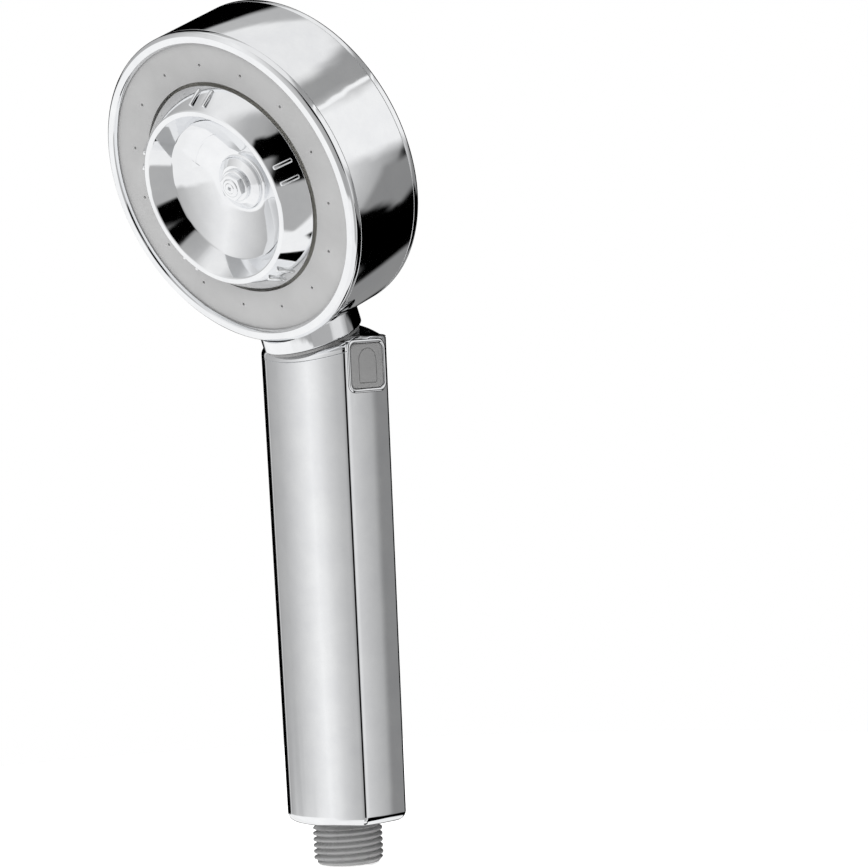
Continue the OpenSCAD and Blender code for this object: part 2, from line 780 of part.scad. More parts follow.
inlet_fitting();
flow_limiter();
handle_shell();
handle_shoulder();
water_tube();
tube_seals();
valve_body();
right_bezel();
left_bezel();
neck_spigot();
neck_seals();
neck_bearing();
retaining_washer();
retaining_screw();
body_screws();
detent_ball();
detent_spring();
valve_spool();
spool_seals();
marked_button();
plain_button();
neck_collar();
head_socket();
socket_cap();
drum_shell();
divider_plate();
divider_screws();
mist_manifold();
mist_seal();
mist_plate();
mist_bezel();
mode_knob();
jet_nozzle();
knob_shaft();
knob_seal();
shaft_clip();
rain_seal();
nozzle_mat();
rain_plate();
rain_bezel();
cover_screws();
rain_trim_ring();
rain_center_cover();
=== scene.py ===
# Double-sided handheld shower head: the looks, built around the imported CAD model.
# Units are metres. MM turns a size in millimetres into metres.
import math
import json

import bmesh
import bpy
from mathutils import Matrix, Vector


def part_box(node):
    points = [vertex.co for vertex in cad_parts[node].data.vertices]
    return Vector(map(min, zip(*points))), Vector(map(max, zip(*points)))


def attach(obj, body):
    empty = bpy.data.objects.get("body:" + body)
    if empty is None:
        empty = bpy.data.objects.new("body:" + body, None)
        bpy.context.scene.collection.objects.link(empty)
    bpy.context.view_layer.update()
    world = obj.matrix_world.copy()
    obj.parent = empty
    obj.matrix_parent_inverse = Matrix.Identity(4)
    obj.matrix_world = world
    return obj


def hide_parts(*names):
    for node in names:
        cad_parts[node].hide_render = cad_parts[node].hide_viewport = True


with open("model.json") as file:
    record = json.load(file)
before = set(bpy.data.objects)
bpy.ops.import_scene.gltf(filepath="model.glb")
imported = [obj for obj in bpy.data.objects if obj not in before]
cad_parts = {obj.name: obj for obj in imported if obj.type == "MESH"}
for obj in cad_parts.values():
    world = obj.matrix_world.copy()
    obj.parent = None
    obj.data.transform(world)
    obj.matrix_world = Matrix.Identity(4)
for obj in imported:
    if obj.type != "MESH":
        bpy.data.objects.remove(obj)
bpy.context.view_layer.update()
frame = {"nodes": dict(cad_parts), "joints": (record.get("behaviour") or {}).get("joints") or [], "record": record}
MM = 0.001
FULL_TURN = 2 * math.pi

# ---- Frames taken from the CAD joints ----

JOINTS = {joint["name"]: joint for joint in frame["joints"]}
NECK_AXIS = Vector(JOINTS["head_swivel"]["axis"]).normalized()
NECK_FOOT = Vector(JOINTS["head_swivel"]["pos_m"])
MIST_AXIS = Vector(JOINTS["knob_turn"]["axis"]).normalized()
DRUM_MIDDLE = Vector(JOINTS["knob_turn"]["pos_m"])
SIDE_AXIS = Vector((1, 0, 0))
TILT = math.acos(NECK_AXIS.z)


def placed(x_axis, y_axis, z_axis, origin):
    """A matrix that takes local x, y, z to the three axes, at the origin given."""
    turn = Matrix((x_axis, y_axis, z_axis)).transposed().to_4x4()
    return Matrix.Translation(origin) @ turn


# Local z runs out of the mist face, out of the rain face, and along the neck; y or z is the neck
MIST_PLACE = placed(SIDE_AXIS, NECK_AXIS, MIST_AXIS, DRUM_MIDDLE)
RAIN_PLACE = placed(-SIDE_AXIS, NECK_AXIS, -MIST_AXIS, DRUM_MIDDLE)
NECK_PLACE = placed(SIDE_AXIS, -MIST_AXIS, NECK_AXIS, NECK_FOOT)
GRIP_PLACE = Matrix.Identity(4)
MIRROR_X = Matrix.Diagonal((-1, 1, 1, 1))


def local_box(node, place):
    """Lowest and highest corner of a CAD node, measured in a local frame."""
    back = place.inverted()
    points = [back @ v.co for v in frame["nodes"][node].data.vertices]
    low = Vector([min(p[i] for p in points) for i in range(3)])
    high = Vector([max(p[i] for p in points) for i in range(3)])
    return low, high


# ---- Sizes read from the CAD nodes ----

_, DRUM_HIGH = local_box("drum_shell", MIST_PLACE)
PLATE_LOW, PLATE_HIGH = local_box("mist_plate", MIST_PLACE)
RIM_LOW, RIM_HIGH = local_box("mist_bezel", MIST_PLACE)
_, TRIM_HIGH = local_box("rain_trim_ring", RAIN_PLACE)
_, COVER_HIGH = local_box("rain_center_cover", RAIN_PLACE)
MAT_LOW, _ = local_box("nozzle_mat", RAIN_PLACE)
COLLAR_LOW, COLLAR_HIGH = local_box("neck_collar", NECK_PLACE)
BEARING_LOW, _ = local_box("neck_bearing", NECK_PLACE)
_, THREAD_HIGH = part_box("inlet_fitting")
SHELL_LOW, SHELL_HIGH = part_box("handle_shell")
_, LID_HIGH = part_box("handle_shoulder")
BUTTON_LOW, BUTTON_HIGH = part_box("marked_button")
BEZEL_LOW, BEZEL_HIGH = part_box("right_bezel")

DRUM_R = DRUM_HIGH.x
FACE = PLATE_HIGH.z
RIM = RIM_HIGH.z
RIM_SPLIT = RIM_LOW.z
RIM_W = 3.6 * MM
TRIM_R = TRIM_HIGH.x
TRIM_TOP = TRIM_HIGH.z
COVER_R = COVER_HIGH.x
COLLAR_R = COLLAR_HIGH.x
SEAT = BEARING_LOW.z
GRIP_FOOT = SHELL_LOW.z
GRIP_TOP = SHELL_HIGH.z + 0.8 * MM
GRIP_HALF_W = SHELL_HIGH.x
GRIP_HALF_D = LID_HIGH.y
GRIP_TAPER = 1.05 * MM
FLAT_HALF = 9 * MM
FLAT_SAG = 0.4 * MM
EDGE_REACH = 0.9 * MM
GRIP_WALL = 2.2 * MM
FOOT_ROUND = 3 * MM
SEAM_ROUND = 0.25 * MM
EAVE = 0.8 * MM
LID_T = 2.2 * MM
LID_ROUND = 1.6 * MM
LID_MIDDLE = -3.8 * MM
SPIGOT_HOLE = 7.1 * MM
FLANGE_HOLE = 10.6 * MM
SEAT_DISC_R = 12 * MM
SOCKET_HOLE = 8.7 * MM
BEZEL_W = 1.2 * MM
BUTTON_HALF_W = 6.75 * MM
BUTTON_HALF_H = 6.7 * MM
BUTTON_CORNER = 2 * MM
BUTTON_Z = (BUTTON_LOW.z + BUTTON_HIGH.z) / 2
BUTTON_LOW_X = BUTTON_LOW.x
BUTTON_HIGH_X = BUTTON_HIGH.x
WINDOW_IN = 9.15 * MM
RECORD = frame["record"]
MOUNTS = {mount["name"]: mount for mount in RECORD["mounts"]}
THREAD_R = MOUNTS["inlet_thread"]["dims"]["r_mm"] * MM
BORE_R = MOUNTS["inlet_bore"]["dims"]["r_mm"] * MM
PITCH = 1.814 * MM
THREAD_ROOT = THREAD_R - 0.6403 * PITCH
FLANGE_R = THREAD_HIGH.x


# ---- Mesh helpers ----

def link_mesh(bm, name):
    """Turns a bmesh into an object of the scene."""
    mesh = bpy.data.meshes.new(name)
    bm.to_mesh(mesh)
    bm.free()
    made = bpy.data.objects.new(name, mesh)
    bpy.context.scene.collection.objects.link(made)
    return made


def shade(bm, sharp):
    """Smooth shading, with edges sharper than the angle in degrees kept crisp."""
    for face in bm.faces:
        face.smooth = True
    limit = math.radians(sharp)
    for edge in bm.edges:
        edge.smooth = not (edge.is_manifold and edge.calc_face_angle(0) > limit)


def in_mm(corners):
    """Corners (across, along, radius) given in millimetres, as metres."""
    return [(x * MM, z * MM, r * MM) for x, z, r in corners]


def finish_piece(bm, name, body, place=GRIP_PLACE, sharp=40.0):
    """Turns a bmesh into a piece in its place that rides a body."""
    bmesh.ops.transform(bm, matrix=place, verts=bm.verts)
    bmesh.ops.recalc_face_normals(bm, faces=bm.faces)
    shade(bm, sharp)
    piece = link_mesh(bm, name)
    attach(piece, body)
    return piece


def rounded(corners, steps=5):
    """Outline points from corners (across, along, radius), each corner rounded by its radius."""
    points = []
    for i, (x, z, radius) in enumerate(corners):
        here = Vector((x, z))
        if radius == 0 or i in (0, len(corners) - 1):
            points.append(here)
            continue
        before = (Vector(corners[i - 1][:2]) - here).normalized()
        after = (Vector(corners[i + 1][:2]) - here).normalized()
        half = before.angle(after) / 2
        reach = radius / math.tan(half)
        middle = here + (before + after).normalized() * radius / math.sin(half)
        start = here + before * reach - middle
        end = here + after * reach - middle
        for k in range(steps + 1):
            points.append(middle + radius * start.slerp(end, k / steps))
    return points


def spun(bm, points, steps=96):
    """Spins an outline of (radius, height) points about local z."""
    verts = [bm.verts.new((p.x, 0, p.y)) for p in points]
    edges = [bm.edges.new(pair) for pair in zip(verts, verts[1:])]
    bmesh.ops.spin(bm, geom=verts + edges, cent=(0, 0, 0), axis=(0, 0, 1),
                   angle=FULL_TURN, steps=steps, use_merge=True)
    bmesh.ops.remove_doubles(bm, verts=bm.verts, dist=1e-7)
    return bm


def lathe(name, body, place, corners, steps=96, sharp=40.0):
    """A turned piece. Corners are (radius, height, rounding) in millimetres, in order round it."""
    bm = spun(bmesh.new(), rounded(in_mm(corners + corners[:1])), steps)
    return finish_piece(bm, name, body, place, sharp)


def lofted(bm, rings, close_start=True, close_end=True):
    """Joins rings of points, one after another, starting from a circle that is extruded."""
    count = len(rings[0])
    made = bmesh.ops.create_circle(bm, cap_ends=False, radius=1, segments=count)
    verts = made["verts"]
    edges = [bm.edges.get((verts[i], verts[(i + 1) % count])) for i in range(count)]
    loops = []
    for k, ring in enumerate(rings):
        for vert, point in zip(verts, ring):
            vert.co = point
        loops.append(edges)
        if k == len(rings) - 1:
            break
        grown = bmesh.ops.extrude_edge_only(bm, edges=edges)["geom"]
        new_verts = [g for g in grown if isinstance(g, bmesh.types.BMVert)]
        pair = {v.co.to_tuple(9): v for v in new_verts}
        verts = [pair[v.co.to_tuple(9)] for v in verts]
        edges = [bm.edges.get((verts[i], verts[(i + 1) % count])) for i in range(count)]
    if close_start:
        bmesh.ops.contextual_create(bm, geom=loops[0])
    if close_end:
        bmesh.ops.contextual_create(bm, geom=loops[-1])
    return bm


def cut_away(piece, tool):
    """Cuts the tool's shape out of a piece, and removes the tool."""
    cut = piece.modifiers.new("cut", "BOOLEAN")
    cut.operation = "DIFFERENCE"
    cut.solver = "EXACT"
    cut.object = tool
    apply_modifiers(piece)
    bpy.data.objects.remove(tool)


def apply_modifiers(piece):
    """Puts the result of a piece's modifiers into its mesh."""
    graph = bpy.context.evaluated_depsgraph_get()
    mesh = bpy.data.meshes.new_from_object(piece.evaluated_get(graph))
    piece.modifiers.clear()
    piece.data = mesh


def level_normals(piece):
    """Keeps broad flat faces flat to the eye beside small rounded edges."""
    weighted = piece.modifiers.new("level", "WEIGHTED_NORMAL")
    weighted.keep_sharp = True
    weighted.weight = 60
    apply_modifiers(piece)


def tool_object(bm, name):
    """An object that only serves to cut a piece."""
    bmesh.ops.recalc_face_normals(bm, faces=bm.faces)
    return link_mesh(bm, name)


def cylinder_tool(radius, low, high, place, steps=96):
    bm = bmesh.new()
    bmesh.ops.create_cone(bm, cap_ends=True, segments=steps, radius1=radius, radius2=radius,
                          depth=high - low)
    bmesh.ops.translate(bm, vec=(0, 0, (low + high) / 2), verts=bm.verts)
    bmesh.ops.transform(bm, matrix=place, verts=bm.verts)
    return tool_object(bm, "cutter")


# ---- Grip ----

def spread(low, high, steps):
    """Evenly spaced values from low to high, both included."""
    return [low + (high - low) * i / steps for i in range(steps + 1)]


def edge_arc(tip, before, after, reach, steps):
    """A small arc in place of an edge, starting and ending a short reach from its tip."""
    half = before.angle(after) / 2
    radius = reach * math.tan(half)
    middle = tip + (before + after).normalized() * radius / math.sin(half)
    start = tip + before * reach - middle
    end = tip + after * reach - middle
    return [middle + radius * start.slerp(end, k / steps) for k in range(steps + 1)]


def grip_outline(z, inset=0.0):
    """Points round the grip at a height: two curved faces and two nearly flat sides."""
    narrow = GRIP_TAPER * (GRIP_TOP - z) / (GRIP_TOP - GRIP_FOOT)
    flat = FLAT_HALF - 0.4 * narrow - inset * 0.5
    half = GRIP_HALF_W - narrow - inset - FLAT_SAG
    rise = GRIP_HALF_D - narrow - inset - flat
    radius = (half * half + rise * rise) / (2 * rise)
    reach = math.asin(half / radius)
    side = [Vector((half + FLAT_SAG * (1 - (y / flat) ** 2), y)) for y in spread(-flat, flat, 10)]
    back = [Vector((radius * math.sin(turn), flat + rise - radius * (1 - math.cos(turn))))
            for turn in spread(reach, -reach, 28)]
    first = edge_arc(side[-1], (side[-2] - side[-1]).normalized(),
                     (back[1] - back[0]).normalized(), EDGE_REACH, 5)
    last = edge_arc(back[-1], (back[-2] - back[-1]).normalized(),
                    (side[0] - side[1]).normalized(), EDGE_REACH, 5)
    half_way = side[1:-1] + first + back[1:-1] + last
    return half_way + [-p for p in half_way]


def grip_ring(height, inset=0.0):
    """One ring round the grip, with its height given as a number or by a function of y."""
    level = height(0) if callable(height) else height
    ring = grip_outline(level, inset)
    return [Vector((p.x, p.y, height(p.y) if callable(height) else height)) for p in ring]


def plane_height(along_neck, y):
    """Height at y of the tilted plane that lies so far along the neck."""
    return NECK_FOOT.z + along_neck / math.cos(TILT) + math.tan(TILT) * y


def seam_height(y):
    """Top of the shell: level behind, sloping down with the seat of the head in front."""
    return min(plane_height(SEAT - LID_T, y), GRIP_TOP - EAVE)


def eave_height(y):
    """Top of the lid's outer edge."""
    return min(plane_height(SEAT, y), GRIP_TOP)


def neck_circle(radius, along_neck, directions):
    return [NECK_PLACE @ Vector((radius * d.x, radius * d.y, along_neck)) for d in directions]


def round_rectangle(half_w, half_h, corner):
    """Outline of a rectangle with round corners, around the origin."""
    points = []
    for k, (side, end) in enumerate(((1, 1), (-1, 1), (-1, -1), (1, -1))):
        middle = Vector((side * (half_w - corner), end * (half_h - corner)))
        for turn in spread(k * FULL_TURN / 4, (k + 1) * FULL_TURN / 4, 6):
            points.append(middle + corner * Vector((math.cos(turn), math.sin(turn))))
    return points


def on_side(points, x):
    """An outline drawn on the +X side of the grip, around the middle of the button."""
    return [Vector((x, p.x, BUTTON_Z + p.y)) for p in points]


def side_frame(bm, layers):
    """A closed frame from (outline, x) pairs that go once round its section."""
    lofted(bm, [on_side(points, x) for points, x in layers], False, False)
    open_edges = [e for e in bm.edges if e.is_boundary]
    bmesh.ops.bridge_loops(bm, edges=open_edges)
    return bm


def window_tool(side):
    """Cutter for the opening that a button's bezel sits in."""
    grow = BEZEL_W + 0.1 * MM
    outline = round_rectangle(BUTTON_HALF_W + grow, BUTTON_HALF_H + grow, BUTTON_CORNER + grow / 2)
    bm = lofted(bmesh.new(), [on_side(outline, WINDOW_IN), on_side(outline, GRIP_HALF_W + 5 * MM)])
    if side < 0:
        bmesh.ops.transform(bm, matrix=MIRROR_X, verts=bm.verts)
    return tool_object(bm, "window")


def crisp(piece, sharp=35.0):
    """Marks the edges that a cut has left, so that they don't smear the shading."""
    bm = bmesh.new()
    bm.from_mesh(piece.data)
    shade(bm, sharp)
    bm.to_mesh(piece.data)
    bm.free()


def grip_skin():
    """Hollow shell of the grip, rounded at its foot, with windows for the two buttons."""
    rings = []
    for turn in spread(0, FULL_TURN / 4, 8):
        rings.append(grip_ring(GRIP_FOOT + FOOT_ROUND * (1 - math.cos(turn)),
                               FOOT_ROUND * (1 - math.sin(turn))))
    for z in spread(GRIP_FOOT + 12 * MM, GRIP_TOP - 16 * MM, 8):
        rings.append(grip_ring(z))
    for turn in spread(0, FULL_TURN / 4, 3):
        drop = SEAM_ROUND * (1 - math.sin(turn))
        rings.append(grip_ring(lambda y: seam_height(y) - drop, SEAM_ROUND * (1 - math.cos(turn))))
    rings.append(grip_ring(seam_height, GRIP_WALL))
    rings.append(grip_ring(GRIP_FOOT + GRIP_WALL + 0.3 * MM, GRIP_WALL))
    piece = finish_piece(lofted(bmesh.new(), rings), "grip_skin", "handle")
    for side in (1, -1):
        cut_away(piece, window_tool(side))
    cut_away(piece, cylinder_tool(THREAD_ROOT + 0.1 * MM, GRIP_FOOT - MM, GRIP_FOOT + 4 * MM,
                                  GRIP_PLACE))
    crisp(piece)
    level_normals(piece)
    return piece


def shoulder_lid():
    """Lid on top of the grip: flat under the head's seat, domed and falling away behind it."""
    rings = []
    outline = grip_outline(GRIP_TOP)
    directions = [Vector((p.x, p.y - LID_MIDDLE)).normalized() for p in outline]
    rings.append(neck_circle(SPIGOT_HOLE, SEAT - LID_T, directions))
    rings.append(neck_circle(FLANGE_HOLE, SEAT - LID_T, directions))
    low_ring = neck_circle(FLANGE_HOLE, SEAT - LID_T, directions)
    rings.append([Vector((p.x, p.y, min(p.z, seam_height(p.y)) - 0.02 * MM)) for p in low_ring])
    rings.append(grip_ring(lambda y: seam_height(y) + 0.02 * MM, 0.25 * MM))
    rings.append(grip_ring(lambda y: seam_height(y) + 0.12 * MM, 0.03 * MM))
    for turn in spread(0, FULL_TURN / 4, 6):
        part = math.sin(turn)
        rings.append(grip_ring(lambda y: seam_height(y) + 0.16 * MM
                               + (eave_height(y) - seam_height(y) - 0.16 * MM) * part,
                               LID_ROUND * (1 - math.cos(turn))))
    rim = rings[-1]
    seat = neck_circle(SEAT_DISC_R, SEAT, directions)
    for share in spread(0.1, 1, 9):
        ring = []
        for a, b in zip(rim, seat):
            point = a.lerp(b, share)
            behind = min(max((point.y - 1 * MM) / (7 * MM), 0), 1)
            point.z += 1.1 * MM * behind * math.sin(math.pi * share)
            ring.append(point)
        rings.append(ring)
    rings.append(neck_circle(SPIGOT_HOLE, SEAT, directions))
    bm = lofted(bmesh.new(), rings, False, False)
    bmesh.ops.bridge_loops(bm, edges=[e for e in bm.edges if e.is_boundary])
    piece = finish_piece(bm, "shoulder_lid", "handle", sharp=50)
    for side in (1, -1):
        cut_away(piece, window_tool(side))
    crisp(piece, 45)
    level_normals(piece)
    return piece


def side_bezel(side):
    """Rounded frame round a stop button."""
    def outline(grow):
        return round_rectangle(BUTTON_HALF_W + grow, BUTTON_HALF_H + grow, BUTTON_CORNER + grow / 2)

    layers = [(outline(0.1 * MM), BEZEL_LOW.x)]
    edge = 0.45 * MM
    for turn in spread(0, FULL_TURN / 4, 4):
        layers.append((outline(0.1 * MM + edge * (1 - math.cos(turn))),
                       BEZEL_HIGH.x - edge * (1 - math.sin(turn))))
    for turn in spread(FULL_TURN / 4, 0, 4):
        layers.append((outline(BEZEL_W - edge * (1 - math.cos(turn))),
                       BEZEL_HIGH.x - edge * (1 - math.sin(turn))))
    layers.append((outline(BEZEL_W), BEZEL_LOW.x))
    bm = side_frame(bmesh.new(), layers)
    place = GRIP_PLACE if side > 0 else MIRROR_X
    return finish_piece(bm, ("marked" if side > 0 else "plain") + "_button_bezel",
                        "handle", place)


def arch_outline(grow):
    """A doorway shape: round at the top, nearly square at the foot."""
    half, foot, corner = 3.65 * MM + grow, -5.1 * MM - grow, 0.7 * MM + grow
    points = [Vector((half * math.cos(t), 1.55 * MM + half * math.sin(t)))
              for t in spread(0, FULL_TURN / 2, 20)]
    for side, first in ((-1, FULL_TURN / 2), (1, FULL_TURN * 3 / 4)):
        for turn in spread(first, first + FULL_TURN / 4, 4):
            points.append(Vector((side * (half - corner) + corner * math.cos(turn),
                                  foot + corner + corner * math.sin(turn))))
    return points


def stop_button(side):
    """Rounded block; the marked one has an engraved doorway line."""
    def outline(inset):
        return round_rectangle(BUTTON_HALF_W - inset, BUTTON_HALF_H - inset,
                               BUTTON_CORNER - inset / 2)

    edge = 0.6 * MM
    rings = [on_side(outline(0), BUTTON_LOW_X)]
    for turn in spread(0, FULL_TURN / 4, 5):
        rings.append(on_side(outline(edge * (1 - math.cos(turn))),
                             BUTTON_HIGH_X - edge * (1 - math.sin(turn))))
    place = GRIP_PLACE if side > 0 else MIRROR_X
    name = "marked_stop_button" if side > 0 else "plain_stop_button"
    piece = finish_piece(lofted(bmesh.new(), rings), name, "stop_valve", place)
    if side > 0:
        outer, inner = arch_outline(0.17 * MM), arch_outline(-0.17 * MM)
        low, high = BUTTON_HIGH_X - 0.22 * MM, BUTTON_HIGH_X + MM
        bm = side_frame(bmesh.new(), [(outer, low), (outer, high), (inner, high), (inner, low)])
        cut_away(piece, tool_object(bm, "doorway line"))
        crisp(piece)
    level_normals(piece)
    return piece


# ---- Inlet ----

def threaded_inlet():
    """Inlet with a true right-hand pipe thread, its bore, and the flange inside the grip."""
    crest, root, pitch = THREAD_R, THREAD_ROOT, PITCH
    steps, turns = 72, 9
    tooth = [(root, -0.04, 0), (root, 0, 0.10), (crest, 0.30, 0.10), (crest, 0.62, 0.10),
             (root, 0.92, 0.10), (root, 0.96, 0)]
    line = rounded([(r, (z - 1) * pitch, fillet * pitch) for r, z, fillet in tooth], 3)
    bm = bmesh.new()
    verts = [bm.verts.new((p.x, 0, p.y)) for p in line]
    edges = [bm.edges.new(pair) for pair in zip(verts, verts[1:])]
    bmesh.ops.spin(bm, geom=verts + edges, cent=(0, 0, 0), axis=(0, 0, 1), angle=FULL_TURN * turns,
                   steps=steps * turns, dvec=(0, 0, pitch / steps))
    bmesh.ops.remove_doubles(bm, verts=bm.verts, dist=1e-6)
    top = GRIP_FOOT - 0.1 * MM
    for height, direction in ((0, -1), (top, 1)):
        bmesh.ops.bisect_plane(bm, geom=bm.verts[:] + bm.edges[:] + bm.faces[:], dist=1e-7,
                               plane_co=(0, 0, height), plane_no=(0, 0, direction), clear_outer=True)
    for vert in bm.verts:
        across = Vector((vert.co.x, vert.co.y))
        limit = min(root - 0.25 * MM + 0.9 * vert.co.z, root + max(top - 0.3 * MM - vert.co.z, 0))
        if across.length > limit:
            vert.co.xy = across.normalized() * limit
    limiter_r, water_r, tube_r, spout_r, spout_top = 6.2 * MM, 4.9 * MM, 6.55 * MM, 8.6 * MM, 29
    inner = [(BORE_R, 0), (BORE_R, 6), (limiter_r, 6), (limiter_r, 9.6), (water_r, 9.6),
             (water_r, 21), (tube_r, 21), (tube_r, spout_top)]
    floor = (GRIP_FOOT + GRIP_WALL) / MM + 0.3
    outer = [(root, floor), (FLANGE_R, floor), (FLANGE_R, floor + 3),
             (spout_r, floor + 3), (spout_r, spout_top)]
    for height, steps_on in ((0, inner), (top, outer)):
        loop = [e for e in bm.edges if e.is_boundary
                and all(abs(v.co.z - height) < 1e-6 for v in e.verts)]
        for radius, z in steps_on:
            grown = bmesh.ops.extrude_edge_only(bm, edges=loop)["geom"]
            for vert in [g for g in grown if isinstance(g, bmesh.types.BMVert)]:
                across = Vector((vert.co.x, vert.co.y)).normalized() * radius
                vert.co = (across.x, across.y, z * MM)
            loop = [g for g in grown if isinstance(g, bmesh.types.BMEdge)]
    bmesh.ops.bridge_loops(bm, edges=[e for e in bm.edges if e.is_boundary])
    return finish_piece(bm, "threaded_inlet", "handle", sharp=50)


# ---- Head ----

def drum_skin():
    """Side wall of the drum, open where the swivel joint goes in."""
    high = RIM_SPLIT / MM
    piece = lathe("drum_skin", "head", MIST_PLACE,
                  [(47.2, -high, 0), (DRUM_R / MM, -high, 0.16), (DRUM_R / MM, high, 0.16),
                   (47.2, high, 0)], 192)
    cut_away(piece, cylinder_tool(SOCKET_HOLE, 12 * MM, 30 * MM, NECK_PLACE))
    crisp(piece)
    return piece


def face_rim(name, place):
    """Rim round a face: rounded outer edge, flat crest, and a lip over a gap at the plate."""
    r, face, top, low = DRUM_R / MM, FACE / MM, RIM / MM, RIM_SPLIT / MM
    inner = r - RIM_W / MM
    return lathe(name, "head", place,
                 [(47.1, low, 0), (r, low, 0.16), (r, top - 1.1, 1.2), (r - 1.1, top - 0.12, 0.5),
                  (inner + 0.5, top, 0.25), (inner - 0.25, face + 0.45, 0.1),
                  (inner + 0.9, face + 0.4, 0), (inner + 0.9, face + 0.02, 0),
                  (47.1, face + 0.02, 0)], 192, sharp=28)


def neck_band():
    """Short round band between the grip and the drum, cut to the drum's curve."""
    foot = COLLAR_LOW.z / MM
    piece = lathe("neck_band", "head", NECK_PLACE,
                  [(9.0, foot, 0), (COLLAR_R / MM, foot, 0.55), (COLLAR_R / MM, foot + 8, 0),
                   (9.0, foot + 8, 0)], 96)
    cut_away(piece, cylinder_tool(DRUM_R + 0.03 * MM, -30 * MM, 30 * MM, MIST_PLACE, 192))
    crisp(piece)
    return piece


def at_turn(radius, clockwise, z=0.0):
    """A place on a face, by the angle clockwise from the top as seen from outside."""
    turn = math.radians(90 - clockwise)
    return Matrix.Rotation(turn, 4, "Z") @ Matrix.Translation((radius, 0, z))


# The knob's dish in millimetres: radius and height of its edge, its run inwards and its drop
DISH_R, DISH_TOP, DISH_RUN, DISH_DROP, DISH_SAG = 21.7, 14.8, 13.6, 6.5, 2.6


def dish_height(radius):
    """Height of the knob's dish at a distance from its axis, both in millimetres."""
    t = (DISH_R - radius) / DISH_RUN
    return DISH_TOP - DISH_DROP * t - DISH_SAG * t * (1 - t)


def turn_mark():
    """Low raised arc with an arrowhead on the dish, which shows the way to turn the knob."""
    near, far, sunk, proud = 15.9, 16.4, -0.1, 0.09
    middle, sweep = 16.15, math.radians(56)
    mark = bmesh.new()
    corners = [(near, sunk), (near, proud), (far, proud), (far, sunk)]
    verts = [mark.verts.new((r * MM, 0, (dish_height(r) + lift) * MM)) for r, lift in corners]
    face = mark.faces.new(verts)
    bmesh.ops.spin(mark, geom=[face], cent=(0, 0, 0), axis=(0, 0, 1), steps=20, angle=sweep)
    head = bmesh.new()
    bmesh.ops.create_cone(head, cap_ends=True, segments=3, radius1=1.5 * MM, radius2=1.5 * MM,
                          depth=0.2 * MM)
    place = (Matrix.Rotation(sweep, 4, "Z")
             @ Matrix.Translation((middle * MM, 0.6 * MM, dish_height(middle) * MM))
             @ Matrix.Rotation(-math.atan2(DISH_DROP, DISH_RUN), 4, "Y")
             @ Matrix.Rotation(FULL_TURN / 4, 4, "Z"))
    bmesh.ops.transform(head, verts=head.verts, matrix=place)
    join(mark, head)
    bmesh.ops.rotate(mark, verts=mark.verts, cent=(0, 0, 0),
                     matrix=Matrix.Rotation(math.radians(95), 3, "Z"))
    return mark


def mode_knob():
    """Dished knob with a sharp crest, a boss in the middle, and pairs of ribs on its slope."""
    radii = [DISH_R - DISH_RUN * t for t in spread(0.12, 0.88, 8)]
    dish = [(radius, dish_height(radius), 0) for radius in radii]
    outline = [(31.1, 13.6, 0), (32.5, 13.6, 0.3), (27.25, 21.6, 0.7), (25.6, 21.6, 0.7),
               (21.9, 15.1, 1.6)] + dish + [
               (8.1, 8.5, 0.7), (8.1, 9.9, 0.5), (5.9, 10.9, 0.6), (1.8, 10.9, 0), (1.8, 9.9, 0),
               (4.05, 9.9, 0), (4.05, 6.3, 0), (8.5, 6.3, 0), (21.1, 13.4, 0), (25.6, 19.6, 0),
               (26.3, 19.6, 0)]
    bm = spun(bmesh.new(), rounded(in_mm(outline + outline[:1]), 6), 160)
    slope = math.atan2(8.0, 5.0)
    pairs = 5
    for pair in range(pairs):
        for side in (-1, 1):
            rib = bmesh.new()
            bmesh.ops.create_cube(rib, size=1)
            bmesh.ops.scale(rib, vec=(6.2 * MM, 1.4 * MM, 2.2 * MM), verts=rib.verts)
            bmesh.ops.bevel(rib, geom=rib.edges[:], affect="EDGES", offset=0.5 * MM, segments=3,
                            profile=0.5, material=-1)
            place = (at_turn(27.5 * MM, 8 + 360 / pairs * pair, 20.5 * MM)
                     @ Matrix.Translation((0, side * 2.6 * MM, 0))
                     @ Matrix.Rotation(slope, 4, "Y")
                     @ Matrix.Translation((3.6 * MM, 0, 0.1 * MM)))
            bmesh.ops.transform(rib, verts=rib.verts, matrix=place)
            join(bm, rib)
    join(bm, turn_mark())
    return finish_piece(bm, "dished_knob", "knob", MIST_PLACE, sharp=42)


def join(bm, other):
    """Adds another bmesh's shapes to this one."""
    spare = bpy.data.meshes.new("spare")
    other.to_mesh(spare)
    other.free()
    bm.from_mesh(spare)
    bpy.data.meshes.remove(spare)


def jet_nozzle():
    """Flanged hexagon with a domed tip and a small hole for the single jet."""
    base = rounded(in_mm([(0, 10.92, 0), (5, 10.92, 0.2), (5, 12.1, 0.45), (3.6, 12.2, 0.3),
                          (0, 12.2, 0)]), 4)
    tip = rounded(in_mm([(0, 12.9, 0), (0.6, 12.9, 0), (0.6, 14.3, 0.15), (1.5, 14.3, 0.1),
                         (1.75, 14.1, 0.2), (2.9, 14.1, 0.6), (3.1, 12.8, 0.2), (0, 12.8, 0)]), 4)
    bm = spun(bmesh.new(), base, 64)
    join(bm, spun(bmesh.new(), tip, 64))
    hexagon = bmesh.new()
    bmesh.ops.create_cone(hexagon, cap_ends=True, segments=6, radius1=4.4 * MM, radius2=4.4 * MM,
                          depth=2.1 * MM)
    bmesh.ops.translate(hexagon, vec=(0, 0, 12.65 * MM), verts=hexagon.verts)
    bmesh.ops.bevel(hexagon, geom=hexagon.edges[:], affect="EDGES", offset=0.2 * MM, segments=3,
                    profile=0.5, material=-1)
    join(bm, hexagon)
    return finish_piece(bm, "jet_tip", "knob", MIST_PLACE, sharp=42)


